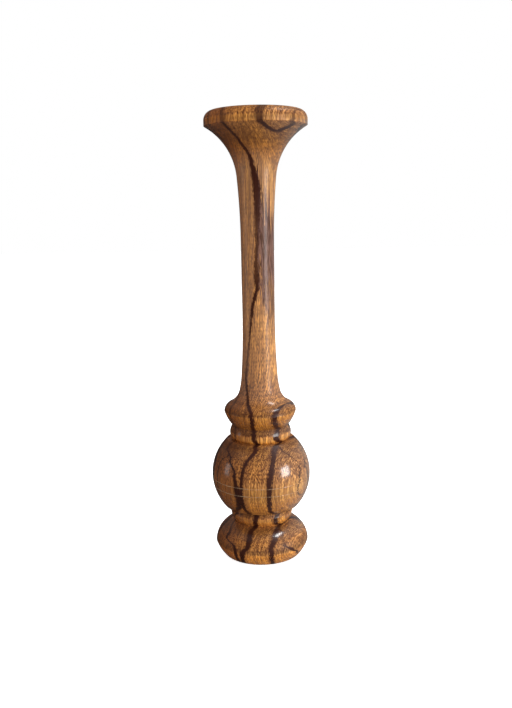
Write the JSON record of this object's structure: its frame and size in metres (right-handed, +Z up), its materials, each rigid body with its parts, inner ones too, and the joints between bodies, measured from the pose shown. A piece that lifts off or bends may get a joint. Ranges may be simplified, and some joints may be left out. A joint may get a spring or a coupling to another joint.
{
  "type": "dip pen holder",
  "caption": "Turned hardwood desk stand that holds one dip pen upright in a lined bore, with a dished trumpet mouth, a ball base and a weighted foot.",
  "frame": {"origin": "centre of the felt pad's underside, on the surface that the stand rests on", "axes": "+Z up along the turning axis, towards the mouth; every piece is round about Z, and -Y faces the viewer of the picture"},
  "size_m": [0.0474, 0.0474, 0.21],
  "materials": {
    "figured_hardwood": "satin",
    "dowel_wood": "matte",
    "brass": "polished",
    "cork": "matte",
    "steel": "satin",
    "felt": "matte"
  },
  "bodies": {
    "root": {"foot_section": "figured_hardwood", "ball_section": "figured_hardwood", "stem_section": "figured_hardwood", "foot_dowel": "dowel_wood", "stem_dowel": "dowel_wood", "bore_tube": "brass", "nib_cushion": "cork", "ballast_disc": "steel", "felt_pad": "felt"}
  },
  "joints": []
}
